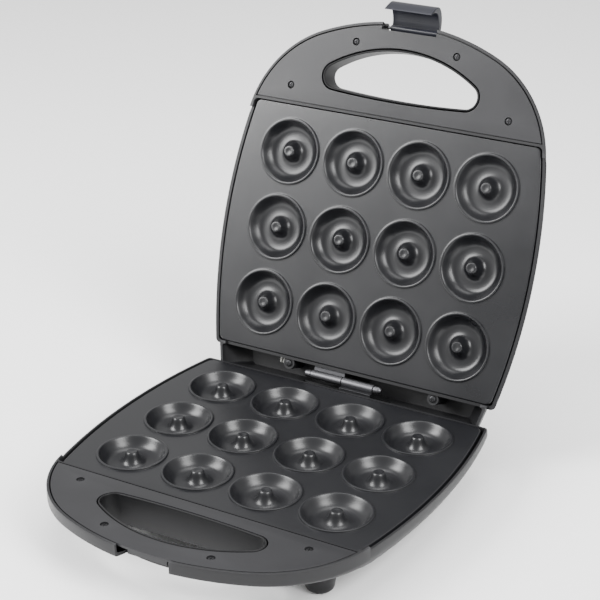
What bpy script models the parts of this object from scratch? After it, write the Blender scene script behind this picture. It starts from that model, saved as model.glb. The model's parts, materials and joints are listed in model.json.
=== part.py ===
"""Hinged twelve-cup donut maker, standing open: a base and a lid with a handle each, a latch and a hinge.

Every half is drawn closed, in the maker's own frame: X runs along the hinge, Y from the handles
to the hinge, and Z = 0 is the plane where the two halves meet. The base lies under it, and the
lid is the same plan over it. Three empties then put the closed frame on its feet, swing the lid
open about its hinge and swing the latch out. Metres, +Z up.
"""

import math

import bmesh
import bpy
from mathutils import Matrix, Vector

# ---- stance ---------------------------------------------------------------------------------
MEET_HEIGHT = 0.0425          # meeting plane above the table
BOX_SHIFT = -0.02424          # puts the open maker's box over the origin
OPEN_ANGLE = math.radians(111.0)
LATCH_OUT = math.radians(57.0)
GAP = 0.0003                  # between pieces that touch

# ---- plan of a half -------------------------------------------------------------------------
HALF_WIDTH = 0.1383           # rim, at the widest point
WIDEST_Y = -0.0048
SIDE_RADIUS = 0.474           # long bow of each side
FRONT_Y = -0.176              # handle's front at the middle
FRONT_RADIUS = 0.1947
SHOULDER_RADIUS = 0.091       # round between side and front
PAN_REAR_Y = 0.1032           # the wide part of a half ends just behind its plate
TAIL_REAR_Y = 0.1210          # a narrower tail holds the hinge
TAIL_INSET = 0.0055
REAR_CORNER = 0.004
PAN_FRONT_Y = -0.112          # the deep pan starts under the handle
PAN_CORNER = 0.030
WALL = 0.0022

# ---- levels below the meeting plane ---------------------------------------------------------
COVER_TOP = 0.0003
COVER_THICK = 0.0020
RIM_DROP = 0.0063             # pan rim
PLATE_DROP = 0.0023           # flat of the cooking plate
PLATE_THICK = 0.0026
SKIRT_DROP = 0.0070
PAN_DEPTH = 0.0360
HANDLE_FRONT_DEPTH = 0.0125
HANDLE_SLOPE = 0.105          # the handle deepens towards the pan
SHELF_DROP = 0.0190           # base only: the lid's tail swings down to this shelf

# ---- cooking plate --------------------------------------------------------------------------
PLATE_REAR_Y = 0.1000
PLATE_FRONT_Y = -0.0991
PLATE_INSET = 0.0044          # plate edge inside the rim
COLUMNS = 4
ROWS = 3
PITCH_X = 0.0580
PITCH_Y = 0.0618
RING_RADIUS = 0.0268
RING_DROP = 0.0009
BOSS_DROP = 0.00015
MOUTH_RADIUS = 0.0251
CUP_FLOOR_RADIUS = 0.0189
CUP_FLOOR_DROP = 0.0093
CUP_BELLY_DROP = 0.0127
BOSS_FOOT = 0.0119
BOSS_TOP = 0.0043
CUP_SIDES = 12

# ---- handle cover, hole and screws ----------------------------------------------------------
COVER_INSET = 0.0030          # cover edge inside the rim
COVER_REAR_Y = -0.1020
HOLE_FLAT_Y = -0.1133
HOLE_FLAT_RADIUS = 0.766
HOLE_FRONT_Y = -0.1556
HOLE_FRONT_RADIUS = 0.1169
HOLE_CORNER = 0.0116
TUBE_GAP = 0.0007
TUBE_WALL = 0.0016
COVER_SCREWS = ((0.0953, -0.1144), (0.0438, -0.1561))
SCREW_HEAD = 0.0027
SCREW_SHANK = 0.0013

# ---- hinge ----------------------------------------------------------------------------------
HINGE_Y = 0.1095
HINGE_Z = 0.0018
HINGE_MIDDLE = -0.0040        # the hinge sits a little to the left
KNUCKLE_RADIUS = 0.0037
PIN_RADIUS = 0.0019
KNUCKLE_SPAN = 0.0280         # each side of the middle
BULKHEAD_FRONT = 0.1005       # wall right behind each plate
BULKHEAD_REAR = 0.1025
BULKHEAD_DROP = 0.0030
LEAF = 0.0012

# ---- latch ----------------------------------------------------------------------------------
LATCH_Y = -0.1712
LATCH_Z = 0.0105
LATCH_HALF = 0.0200
NOTCH_HALF = {-1: 0.0220, 1: 0.0237}
NOTCH_FLOOR = -0.1680
HOOK_DROP = 0.0098

# ---- feet and heating -----------------------------------------------------------------------
FEET = ((0.0932, -0.0965), (0.0900, 0.0820))
FOOT_RADIUS = 0.0125
PAD_RADIUS = 0.0078
PAD_THICK = 0.0020
PLATE_POSTS = (0.1210, 0.0620)
POST_DROP = 0.0140
ELEMENT_RADIUS = 0.0033
ELEMENT_DROP = 0.0085
THERMOSTAT_AT = (0.0290, 0.0)
GLAND_AT = (-0.0720, 0.1190, -0.0265)
TAIL_SCREWS = (-0.0560, 0.0735)
LID_LEAD_EXIT = (-0.0700, -0.0200)
LEAD_RADIUS = 0.0010
HINGE_SCREWS = (0.0080, 0.0200)
HINGE_SCREW_DROP = 0.0110
LAMPS = ((-0.0100, -0.0560), (0.0100, -0.0560))


for old in list(bpy.data.objects):
    bpy.data.objects.remove(old, do_unlink=True)

parts = bpy.data.collections.new("donut_maker")
cutters = bpy.data.collections.new("cutters")
for group in (parts, cutters):
    bpy.context.scene.collection.children.link(group)


# ---- materials ------------------------------------------------------------------------------
def material(name, colour, roughness, metallic=0.0):
    mat = bpy.data.materials.new(name)
    mat.use_nodes = True
    shader = mat.node_tree.nodes["Principled BSDF"]
    shader.inputs["Base Color"].default_value = (*colour, 1.0)
    shader.inputs["Roughness"].default_value = roughness
    shader.inputs["Metallic"].default_value = metallic
    return mat


def housing_plastic():
    return material("housing plastic", (0.035, 0.035, 0.037), 0.42)


def cover_plastic():
    return material("cover plastic", (0.045, 0.045, 0.048), 0.36)


def plate_coating():
    return material("non-stick coating", (0.030, 0.031, 0.035), 0.30, 0.1)


def latch_plastic():
    return material("latch plastic", (0.022, 0.023, 0.030), 0.35)


def hinge_steel():
    return material("hinge steel", (0.42, 0.42, 0.43), 0.35, 1.0)


def black_steel():
    return material("black screws", (0.03, 0.03, 0.03), 0.4, 0.8)


def element_steel():
    return material("element sheath", (0.25, 0.24, 0.23), 0.45, 1.0)


def tray_aluminium():
    return material("reflector sheet", (0.65, 0.65, 0.66), 0.35, 1.0)


def black_rubber():
    return material("black rubber", (0.02, 0.02, 0.02), 0.75)


def ceramic():
    return material("ceramic", (0.75, 0.72, 0.66), 0.5)


def sleeve():
    return material("wire sleeve", (0.55, 0.55, 0.52), 0.7)


def lens(colour):
    return material("lens", colour, 0.15)


# ---- frames: where the closed drawing stands ------------------------------------------------
def empty(name, location, parent=None, turn=0.0):
    frame = bpy.data.objects.new(name, None)
    parts.objects.link(frame)
    frame.location = location
    frame.rotation_euler = (turn, 0.0, 0.0)
    frame.parent = parent
    return frame


base_frame = empty("base_frame", (0.0, BOX_SHIFT, MEET_HEIGHT))
lid_hinge = empty("lid_hinge", (0.0, HINGE_Y, HINGE_Z), base_frame, -OPEN_ANGLE)
lid_frame = empty("lid_frame", (0.0, -HINGE_Y, -HINGE_Z), lid_hinge)
latch_pivot = empty("latch_pivot", (0.0, LATCH_Y, LATCH_Z), lid_frame, -LATCH_OUT)
latch_frame = empty("latch_frame", (0.0, -LATCH_Y, -LATCH_Z), latch_pivot)
FRAMES = {-1: base_frame, 1: lid_frame}


# ---- shape helpers --------------------------------------------------------------------------
stands_in = {}                # each object's frame, which it joins once it is whole


def put(name, mesh, frame, mat=None, location=(0.0, 0.0, 0.0), turn=(0.0, 0.0, 0.0)):
    """Link a mesh as a part, or as a cutter when it has no material."""
    obj = bpy.data.objects.new(name, mesh)
    stands_in[obj.name] = frame
    obj.location = location
    obj.rotation_euler = turn
    if mat is None:
        cutters.objects.link(obj)
        obj.hide_render = True
        obj.display_type = "WIRE"
    else:
        parts.objects.link(obj)
        mesh.materials.clear()
        mesh.materials.append(mat)
    return obj


def finish(bm, name):
    bmesh.ops.remove_doubles(bm, verts=bm.verts, dist=1e-6)
    bmesh.ops.recalc_face_normals(bm, faces=bm.faces)
    mesh = bpy.data.meshes.new(name)
    bm.to_mesh(mesh)
    bm.free()
    return mesh


def smooth(obj, angle=35.0):
    obj.data.shade_smooth()
    obj.data.set_sharp_from_angle(angle=math.radians(angle))
    return obj


def boolean(obj, tool, operation="DIFFERENCE"):
    mod = obj.modifiers.new(operation.lower(), "BOOLEAN")
    mod.operation = operation
    mod.solver = "EXACT"
    mod.object = tool
    return obj


def evaluated(obj):
    """A plain mesh of the object with its modifiers, and the object removed."""
    bpy.context.view_layer.update()
    graph = bpy.context.evaluated_depsgraph_get()
    mesh = bpy.data.meshes.new_from_object(obj.evaluated_get(graph))
    bpy.data.objects.remove(obj, do_unlink=True)
    return mesh


def box_mesh(name, low, high):
    bm = bmesh.new()
    bmesh.ops.create_cube(bm, size=1.0)
    size = Vector(high) - Vector(low)
    middle = (Vector(high) + Vector(low)) / 2
    bmesh.ops.scale(bm, vec=size, verts=bm.verts)
    bmesh.ops.translate(bm, vec=middle, verts=bm.verts)
    return finish(bm, name)


def half_box(side, low, high):
    """A box given for the base, turned over for the lid."""
    x0, y0, z0 = low
    x1, y1, z1 = high
    zs = sorted((z0 * -side, z1 * -side))
    return (x0, y0, zs[0]), (x1, y1, zs[1])


def arc(centre, radius, start, end, steps):
    """Points on a circle from one angle to another, both ends included."""
    points = []
    for i in range(steps + 1):
        angle = start + (end - start) * i / steps
        points.append((centre[0] + radius * math.cos(angle), centre[1] + radius * math.sin(angle)))
    return points


def circle(centre, radius, sides):
    return arc(centre, radius, 0.0, math.tau * (sides - 1) / sides, sides - 1)


def both_sides(right):
    """Close the outline of the +X half, which runs from front to rear, with its mirror image."""
    left = [(-x, y) for x, y in reversed(right) if x > 1e-6]
    return right + left


def aim(start, end):
    return math.atan2(end[1] - start[1], end[0] - start[0])


def flat_mesh(name, loops, low, high):
    """A flat piece between two levels: the first loop is its outline, the others are its holes."""
    curve = bpy.data.curves.new(name, "CURVE")
    curve.dimensions = "2D"
    curve.fill_mode = "BOTH"
    curve.extrude = (high - low) / 2
    for loop in loops:
        spline = curve.splines.new("POLY")
        spline.points.add(len(loop) - 1)
        spline.use_cyclic_u = True
        for point, (x, y) in zip(spline.points, loop):
            point.co = (x, y, 0.0, 1.0)
    obj = bpy.data.objects.new(name, curve)
    bpy.context.scene.collection.objects.link(obj)
    mesh = evaluated(obj)
    bpy.data.curves.remove(curve)
    bm = bmesh.new()
    bm.from_mesh(mesh)
    bmesh.ops.translate(bm, vec=(0.0, 0.0, (high + low) / 2), verts=bm.verts)
    return finish(bm, name)


def side_mesh(name, loops, low, high):
    """A piece of one Y-Z section all along X, between two X places."""
    mesh = flat_mesh(name, loops, low, high)
    mesh.transform(Matrix(((0, 0, 1, 0), (1, 0, 0, 0), (0, 1, 0, 0), (0, 0, 0, 1))))
    return mesh


def loft_mesh(name, rings):
    """A closed skin through rings of equally many points, capped at both ends."""
    bm = bmesh.new()
    loops = []
    for ring in rings:
        verts = [bm.verts.new(point) for point in ring]
        edges = [bm.edges.new((verts[i - 1], verts[i])) for i in range(len(verts))]
        loops.append((verts, edges))
    for (_, lower), (_, upper) in zip(loops, loops[1:]):
        bmesh.ops.bridge_loops(bm, edges=lower + upper)
    bm.faces.new(loops[0][0])
    bm.faces.new(loops[-1][0])
    return finish(bm, name)


def turned_mesh(name, profile, sides, ring=False):
    """A solid of revolution about Z; the profile of (radius, z) runs from its top to its bottom."""
    mesh = bpy.data.meshes.new(name)
    points = [(r, 0.0, z) for r, z in profile]
    edges = [(i, i + 1) for i in range(len(points) - 1)]
    if ring:
        edges.append((len(points) - 1, 0))
    mesh.from_pydata(points, edges, [])
    obj = bpy.data.objects.new(name, mesh)
    bpy.context.scene.collection.objects.link(obj)
    screw = obj.modifiers.new("turn", "SCREW")
    screw.steps = sides
    screw.render_steps = sides
    screw.use_merge_vertices = True
    screw.merge_threshold = 0.00005
    bm = bmesh.new()
    bm.from_mesh(evaluated(obj))
    return finish(bm, name)


def copies_mesh(name, mesh, places, over=False):
    """Separate copies of one mesh, turned over for the lid, at several places."""
    bm = bmesh.new()
    for place in places:
        start = len(bm.verts)
        bm.from_mesh(mesh)
        bm.verts.ensure_lookup_table()
        new = bm.verts[start:]
        if over:
            bmesh.ops.rotate(bm, cent=(0, 0, 0), matrix=Matrix.Rotation(math.pi, 3, "X"), verts=new)
        bmesh.ops.translate(bm, vec=place, verts=new)
    return finish(bm, name)


def put_copies(name, mesh, side, mat, places):
    """One object for each place, all with the same mesh, turned over for the lid."""
    turn = (math.pi, 0.0, 0.0) if side > 0 else (0.0, 0.0, 0.0)
    for number, place in enumerate(places, 1):
        smooth(put(f"{name}_{number}", mesh, FRAMES[side], mat, place, turn))


def tube_mesh(name, points, radius, resolution=2):
    """A round tube through its points with closed ends."""
    curve = bpy.data.curves.new(name, "CURVE")
    curve.dimensions = "3D"
    curve.bevel_depth = radius
    curve.bevel_resolution = resolution
    curve.use_fill_caps = True
    spline = curve.splines.new("POLY")
    spline.points.add(len(points) - 1)
    for point, place in zip(spline.points, points):
        point.co = (*place, 1.0)
    obj = bpy.data.objects.new(name, curve)
    bpy.context.scene.collection.objects.link(obj)
    mesh = evaluated(obj)
    bpy.data.curves.remove(curve)
    bm = bmesh.new()
    bm.from_mesh(mesh)
    return finish(bm, name)


# ---- outlines in plan -----------------------------------------------------------------------
SIDE_CENTRE = (HALF_WIDTH - SIDE_RADIUS, WIDEST_Y)
FRONT_CENTRE = (0.0, FRONT_Y + FRONT_RADIUS)


def shoulder_centre():
    """Centre of the circle that touches the front arc and the side arc from inside."""
    to_front = FRONT_RADIUS - SHOULDER_RADIUS
    to_side = SIDE_RADIUS - SHOULDER_RADIUS
    dx = FRONT_CENTRE[0] - SIDE_CENTRE[0]
    dy = FRONT_CENTRE[1] - SIDE_CENTRE[1]
    span = math.hypot(dx, dy)
    along = (to_side ** 2 - to_front ** 2 + span ** 2) / (2 * span)
    off = math.sqrt(to_side ** 2 - along ** 2)
    ux, uy = dx / span, dy / span
    return SIDE_CENTRE[0] + along * ux + off * uy, SIDE_CENTRE[1] + along * uy - off * ux


SHOULDER_CENTRE = shoulder_centre()


def handle_outline(inset, rear_y, steps=6):
    """The handle's plan: front arc, shoulder arc, and straight across at rear_y."""
    turn = aim(FRONT_CENTRE, SHOULDER_CENTRE)
    radius = SHOULDER_RADIUS - inset
    last = math.asin((rear_y - SHOULDER_CENTRE[1]) / radius)
    front = arc(FRONT_CENTRE, FRONT_RADIUS - inset, -math.pi / 2, turn, steps)
    shoulder = arc(SHOULDER_CENTRE, radius, turn, last, steps)
    return both_sides(front + shoulder[1:])


def pan_outline(inset, front_y, rear_y, front_corner, rear_corner, steps=6, bend=3):
    """A half's plan between two straight edges: bowed sides and round corners."""
    radius = SIDE_RADIUS - inset
    right = []
    centres = []
    for edge, corner, sign in ((front_y, front_corner, 1), (rear_y, rear_corner, -1)):
        y = edge + sign * corner
        x = SIDE_CENTRE[0] + math.sqrt((radius - corner) ** 2 - (y - SIDE_CENTRE[1]) ** 2)
        centres.append((x, y))
    low = aim(SIDE_CENTRE, centres[0])
    high = aim(SIDE_CENTRE, centres[1])
    right += arc(centres[0], front_corner, -math.pi / 2, low, bend)
    right += arc(SIDE_CENTRE, radius, low, high, steps)[1:-1]
    right += arc(centres[1], rear_corner, high, math.pi / 2, bend)
    return both_sides(right)


def hole_outline(inset, steps=5):
    """The grip hole: a bowed front, round ends and a nearly straight side next to the plate."""
    front_centre = (0.0, HOLE_FRONT_Y + HOLE_FRONT_RADIUS)
    flat_centre = (0.0, HOLE_FLAT_Y - HOLE_FLAT_RADIUS)
    end_y = HOLE_FLAT_Y - 0.0021 - HOLE_CORNER
    reach = HOLE_FRONT_RADIUS - HOLE_CORNER
    end_centre = (math.sqrt(reach ** 2 - (end_y - front_centre[1]) ** 2), end_y)
    turn = aim(front_centre, end_centre)
    rise = aim(flat_centre, end_centre)
    right = arc(front_centre, HOLE_FRONT_RADIUS - inset, -math.pi / 2, turn, steps)
    right += arc(end_centre, HOLE_CORNER - inset, turn, rise, steps)[1:]
    right += arc(flat_centre, HOLE_FLAT_RADIUS - inset, rise, math.pi / 2, 3)[1:]
    return both_sides(right)


def level(points, z):
    return [(x, y, z) for x, y in points]


def handle_depth(y):
    """The handle's underside deepens from its front towards the pan."""
    return HANDLE_FRONT_DEPTH + HANDLE_SLOPE * (y - FRONT_Y)


# ---- housings -------------------------------------------------------------------------------
# Each ring of a pan: inset from the plan and depth. The lid's wall leans in more than the base's.
PAN_RINGS = {-1: ((0.0, RIM_DROP), (0.0, 0.0095), (0.0014, 0.0155), (0.0055, 0.0225),
                  (0.0140, 0.0292), (0.0280, 0.0340), (0.0460, PAN_DEPTH)),
             1: ((0.0015, RIM_DROP), (0.0018, 0.0095), (0.0050, 0.0155), (0.0100, 0.0225),
                 (0.0180, 0.0292), (0.0300, 0.0340), (0.0460, PAN_DEPTH))}
# Each ring of a handle: inset, wall depth, and the share of the way from there to its floor.
HANDLE_RINGS = {-1: ((0.0, 0.0092, 0.0), (0.0020, 0.0092, 0.37), (0.0060, 0.0092, 0.66),
                     (0.0120, 0.0092, 0.88), (0.0200, 0.0092, 1.0)),
                1: ((0.0003, 0.0030, 0.0), (0.0034, 0.0085, 0.0), (0.0080, 0.0085, 0.50),
                    (0.0140, 0.0085, 0.85), (0.0210, 0.0085, 1.0))}


def pan_mesh(name, side):
    """The deep wide part of a half, from under the handle to just behind the plate."""
    rings = []
    for inset, drop in PAN_RINGS[side]:
        outline = pan_outline(inset, PAN_FRONT_Y + 0.5 * inset, PAN_REAR_Y - 0.3 * inset,
                              PAN_CORNER + 0.3 * inset, REAR_CORNER + 0.5 * inset)
        rings.append(level(outline, side * drop))
    return loft_mesh(name, rings)


def pan_room_mesh(name, side):
    """The room inside the pan, open at the plate."""
    rings = []
    for inset, drop in PAN_RINGS[side]:
        z = drop - WALL if drop > RIM_DROP else -0.004
        lean = inset - PAN_RINGS[side][0][0]
        outline = pan_outline(inset + WALL, PLATE_FRONT_Y - 0.0006 + 0.5 * lean,
                              BULKHEAD_FRONT - 0.3 * lean, 0.004 + 0.5 * lean, 0.002 + 0.5 * lean)
        rings.append(level(outline, side * z))
    return loft_mesh(name, rings)


def tail_mesh(name, side, wall):
    """The tail behind the plate, or the room inside it when wall is not zero."""
    rings = []
    for inset, drop in PAN_RINGS[side][:5] if wall else PAN_RINGS[side]:
        z = drop - wall
        if drop == RIM_DROP:
            z = -0.004 if wall else GAP / 2
        front = BULKHEAD_REAR if wall else 0.0800
        outline = pan_outline(TAIL_INSET + inset + wall, front, TAIL_REAR_Y - wall - 0.15 * inset,
                              0.002, 0.003 - 0.4 * wall + 0.1 * inset)
        rings.append(level(outline, side * z))
    return loft_mesh(name, rings)


def handle_mesh(name, side, wall):
    """The handle's outer form, or the room inside it when wall is not zero."""
    rear_y = COVER_REAR_Y - 0.0004 if wall else -0.0920
    top = -0.002 if wall else COVER_TOP
    rings = [level(handle_outline(wall, rear_y), side * top)]
    for inset, depth, share in HANDLE_RINGS[side]:
        ring = []
        for x, y in handle_outline(wall + inset, rear_y):
            deep = depth + share * (handle_depth(y) - depth) - wall
            ring.append((x, y, side * deep))
        rings.append(ring)
    return loft_mesh(name, rings)


def build_housing(side, name):
    frame = FRAMES[side]
    housing = put(name, pan_mesh(name, side), frame, housing_plastic())
    boolean(housing, put(name + ".tail", tail_mesh("tail", side, 0.0), frame), "UNION")
    boolean(housing, put(name + ".handle", handle_mesh("handle", side, 0.0), frame), "UNION")
    if side < 0:
        for x, y in FEET:
            for sx in (-x, x):
                boolean(housing, put(name + ".foot", foot_mesh(), frame, None, (sx, y, 0.0)), "UNION")
    else:
        boolean(housing, put(name + ".ears", ears_mesh(), frame), "UNION")

    room = put(name + ".room", pan_room_mesh("room", side), frame)
    tail_room = put(name + ".tail.room", tail_mesh("tail room", side, WALL), frame)
    posts = [(sx * PLATE_POSTS[0], sy * PLATE_POSTS[1]) for sx in (-1, 1) for sy in (-1, 1)]
    for x, y in posts:
        span = sorted((side * POST_DROP + side * GAP, side * 0.06))
        boolean(room, put(name + ".post", flat_mesh("post", [circle((x, y), 0.0045, 8)], *span), frame))
    if side < 0:
        shelf = half_box(side, (-0.2, 0.0, -SHELF_DROP - WALL), (0.2, 0.2, 0.1))
        boolean(tail_room, put(name + ".shelf.keep", box_mesh("keep", *shelf), frame))
        passage = half_box(side, (-0.0900, 0.0700, -0.0290), (-0.0400, 0.1080, -SHELF_DROP - WALL))
        boolean(room, put(name + ".passage", box_mesh("passage", *passage), frame), "UNION")
    else:
        for x in TAIL_SCREWS:
            span = (0.0050, 0.06)
            boss = flat_mesh("boss", [circle((x, BULKHEAD_REAR + 0.0035), 0.0046, 12)], *span)
            boolean(tail_room, put(name + ".boss", boss, frame))
    boolean(housing, room)
    boolean(housing, tail_room)

    grip = put(name + ".grip", handle_mesh("grip", side, WALL), frame)
    tube = flat_mesh("tube", [hole_outline(TUBE_GAP)], -0.06, 0.06)
    boolean(grip, put(name + ".tube", tube, frame))
    latch_keep = half_box(side, (-0.0262, -0.2, -0.06), (0.0262, NOTCH_FLOOR + 0.0049, 0.06))
    boolean(grip, put(name + ".latch.keep", box_mesh("keep", *latch_keep), frame))
    for x, y in COVER_SCREWS:
        for sx in (-x, x):
            post = flat_mesh("post", [circle((sx, y), 0.0036, 8)], -0.06, 0.06)
            boolean(grip, put(name + ".post", post, frame))
    boolean(housing, grip)

    hole = flat_mesh("hole", [hole_outline(TUBE_GAP + TUBE_WALL)], -0.06, 0.06)
    boolean(housing, put(name + ".hole", hole, frame))
    cover_room = flat_mesh("cover room", [handle_outline(COVER_INSET - 2 * GAP, COVER_REAR_Y + 0.0002),
                                          hole_outline(TUBE_GAP * 1.1)], -0.0026, 0.0026)
    boolean(housing, put(name + ".cover.room", cover_room, frame))
    cut_notches(side, name, housing)
    drill_housing(side, name, housing, posts)
    if side < 0:
        shelf = (-0.2, BULKHEAD_REAR, -SHELF_DROP), (0.2, 0.2, 0.1)
        boolean(housing, put(name + ".shelf", box_mesh("shelf", *shelf), frame))
    top = half_box(side, (-0.2, PLATE_REAR_Y, -BULKHEAD_DROP), (0.2, BULKHEAD_REAR + 0.0005, 0.1))
    if side < 0:
        boolean(housing, put(name + ".bulkhead.top", box_mesh("top", *top), frame))
    else:
        low, high = top
        low = (-0.1150, low[1], low[2])
        high = (0.1150, high[1], high[2])
        boolean(housing, put(name + ".bulkhead.top", box_mesh("top", low, high), frame))
    return housing


def drill_housing(side, name, housing, posts):
    """Holes for the cover screws, and each half's own screws, pins and lenses."""
    frame = FRAMES[side]
    drills = []
    for x, y in COVER_SCREWS:
        drills += [((sx * x, y), SCREW_SHANK + GAP, 0.0, 0.0098) for sx in (-1, 1)]
    if side < 0:
        drills += [(place, SCREW_SHANK + GAP, 0.0, 0.06) for place in posts]
        drills += [(place, SCREW_HEAD + GAP, 0.0198, 0.06) for place in posts]
    else:
        drills += [((x, BULKHEAD_REAR + 0.0035), SCREW_SHANK + GAP, 0.0, 0.0150) for x in TAIL_SCREWS]
        drills += [(place, 0.0034 + GAP, 0.030, 0.06) for place in LAMPS]
    for place in hinge_screw_places(side):
        bore = bore_mesh(SCREW_SHANK + GAP, 0.006, "X")
        boolean(housing, put(name + ".hinge.bore", bore, frame, None, place))
    for place, radius, near, far in drills:
        span = sorted((side * near, side * far))
        tool = flat_mesh("drill", [circle(place, radius, 8)], *span)
        boolean(housing, put(name + ".drill", tool, frame))
    if side < 0:
        boolean(housing, put(name + ".gland.bore", bore_mesh(0.0042, 0.006, "X", 12), frame, None, GLAND_AT))
    else:
        bore = bore_mesh(0.0015, 0.0255, "Y", 10)
        boolean(housing, put(name + ".pin.bore", bore, frame, None, (0.0, LATCH_Y, LATCH_Z)))
        x, z = LID_LEAD_EXIT
        exit_at = (x, BULKHEAD_REAR, -z)
        boolean(housing, put(name + ".lead.exit", bore_mesh(0.0032, 0.008, "X", 10), frame, None, exit_at))
        gap = half_box(side, (HINGE_MIDDLE - 0.0400, 0.1050, -0.0140), (HINGE_MIDDLE + 0.0400, 0.13, 0.01))
        boolean(housing, put(name + ".hinge.gap", box_mesh("gap", *gap), frame))


def ears_mesh():
    """The block that holds the latch's pin; the notch leaves an ear of it at each end."""
    outline = arc((LATCH_Y, LATCH_Z), 0.0030, math.pi * 0.5, math.pi * 1.5, 6)
    outline += [(NOTCH_FLOOR + 0.0080, LATCH_Z - 0.0030), (NOTCH_FLOOR + 0.0080, LATCH_Z + 0.0030)]
    return side_mesh("ears", [outline], -0.0259, 0.0259)


def bore_mesh(radius, reach, about, sides=8):
    """A drill for a round hole along Y (about X) or along X (about Y)."""
    mesh = turned_mesh("bore", ((0.0, reach), (radius, reach), (radius, -reach), (0.0, -reach)), sides)
    mesh.transform(Matrix.Rotation(math.pi / 2, 4, about))
    return mesh


def hinge_screw_places(side):
    for off in HINGE_SCREWS:
        yield HINGE_MIDDLE - side * off, BULKHEAD_REAR + GAP + LEAF, side * HINGE_SCREW_DROP


def foot_mesh():
    """A moulded foot, wide at the pan and rounded in at the table."""
    low = -MEET_HEIGHT + PAD_THICK * 0.5
    profile = ((0.0, -0.0200), (FOOT_RADIUS, -0.0200), (FOOT_RADIUS, low + 0.0060),
               (FOOT_RADIUS * 0.88, low + 0.0022), (FOOT_RADIUS * 0.68, low), (0.0, low))
    return turned_mesh("foot", profile, 14)


def cut_notches(side, name, housing):
    """One cut in the front wall for the latch; the base's also clears its hook."""
    half = NOTCH_HALF[side]
    section = [(-0.2, 0.01), (-0.1720, 0.01), (-0.1720, -0.0026), (NOTCH_FLOOR, -0.0026)]
    if side < 0:
        section += [(NOTCH_FLOOR, -HOOK_DROP), (NOTCH_FLOOR + 0.0027, -HOOK_DROP), (NOTCH_FLOOR + 0.0027, -0.06)]
    else:
        section += [(NOTCH_FLOOR, -0.06)]
    section += [(-0.2, -0.06)]
    tool = side_mesh("notch", [[(y, z * -side) for y, z in section]], -half, half)
    boolean(housing, put(name + ".notch", tool, FRAMES[side]))


# ---- handle covers and their screws ---------------------------------------------------------
def build_cover(side, name):
    loops = [handle_outline(COVER_INSET, COVER_REAR_Y), hole_outline(0.0)]
    for x, y in COVER_SCREWS:
        for sx in (-x, x):
            loops.append(circle((sx, y), SCREW_HEAD + GAP, 8))
    low, high = sorted((side * COVER_TOP, side * (COVER_TOP + COVER_THICK)))
    return put(name, flat_mesh(name, loops, low, high), FRAMES[side], cover_plastic())


def build_screws(side, name, places, top, length, mat=black_steel):
    """Round-headed screws whose heads lie at the given level."""
    head = SCREW_HEAD
    profile = ((0.0, 0.0), (head * 0.7, 0.0), (head, -0.0006), (head, -0.0016),
               (SCREW_SHANK, -0.0016), (SCREW_SHANK, -length), (0.0, -length - 0.0008))
    one = turned_mesh("screw", profile, 8)
    put_copies(name, one, side, mat(), [(x, y, side * top) for x, y in places])


# ---- cooking plates -------------------------------------------------------------------------
def cup_places():
    for column in range(COLUMNS):
        for row in range(ROWS):
            yield (column - (COLUMNS - 1) / 2) * PITCH_X, (row - (ROWS - 1) / 2) * PITCH_Y


def plate_outline(inset):
    return pan_outline(PLATE_INSET + inset, PLATE_FRONT_Y + inset, PLATE_REAR_Y - inset,
                       0.004, 0.006, 8)


def build_plate(side, name):
    frame = FRAMES[side]
    holes = [circle(place, RING_RADIUS - 0.0008, CUP_SIDES) for place in cup_places()]
    low, high = sorted((side * PLATE_DROP, side * SKIRT_DROP))
    plate = put(name, flat_mesh(name, [plate_outline(0.0)] + holes, low, high), frame, plate_coating())
    under = sorted((side * (PLATE_DROP + PLATE_THICK), side * (SKIRT_DROP + 0.01)))
    boolean(plate, put(name + ".under", flat_mesh("under", [plate_outline(0.0024)], *under), frame))
    profile = ((0.0, -BOSS_DROP), (BOSS_TOP, -BOSS_DROP), (BOSS_FOOT, -CUP_FLOOR_DROP),
               (CUP_FLOOR_RADIUS, -CUP_FLOOR_DROP), (MOUTH_RADIUS, -RING_DROP),
               (RING_RADIUS, -RING_DROP), (RING_RADIUS, -PLATE_DROP - PLATE_THICK * 0.8),
               (CUP_FLOOR_RADIUS, -CUP_BELLY_DROP), (0.0, -CUP_BELLY_DROP))
    cup = turned_mesh("cup", profile, CUP_SIDES)
    cups = copies_mesh("cups", cup, [(x, y, 0.0) for x, y in cup_places()], side > 0)
    boolean(plate, put(name + ".cups", cups, frame), "UNION")
    for sx in (-1, 1):
        for sy in (-1, 1):
            place = (sx * PLATE_POSTS[0], sy * PLATE_POSTS[1])
            span = sorted((side * (PLATE_DROP + PLATE_THICK * 0.5), side * POST_DROP))
            loops = [circle(place, 0.0045, 8), circle(place, SCREW_SHANK + GAP, 8)]
            boolean(plate, put(name + ".boss", flat_mesh("boss", loops, *span), frame), "UNION")
    return plate


# ---- heating --------------------------------------------------------------------------------
def build_element(side, name):
    """A rod bent round between the rows of cups, open on the left."""
    z = side * ELEMENT_DROP
    end_x, y, bend = 0.1190, PITCH_Y / 2, 0.0200
    right = arc((end_x - bend, y - bend), bend, math.pi / 2, 0.0, 5)
    right += arc((end_x - bend, bend - y), bend, 0.0, -math.pi / 2, 5)
    points = [(-0.1020, y, z * 1.9), (-0.0985, y, z * 1.25), (-0.0930, y, z)]
    points += [(px, py, z) for px, py in right]
    points += [(-0.0930, -y, z), (-0.0985, -y, z * 1.25), (-0.1020, -y, z * 1.9)]
    return smooth(put(name, tube_mesh(name, points, ELEMENT_RADIUS), FRAMES[side], element_steel()))


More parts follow.
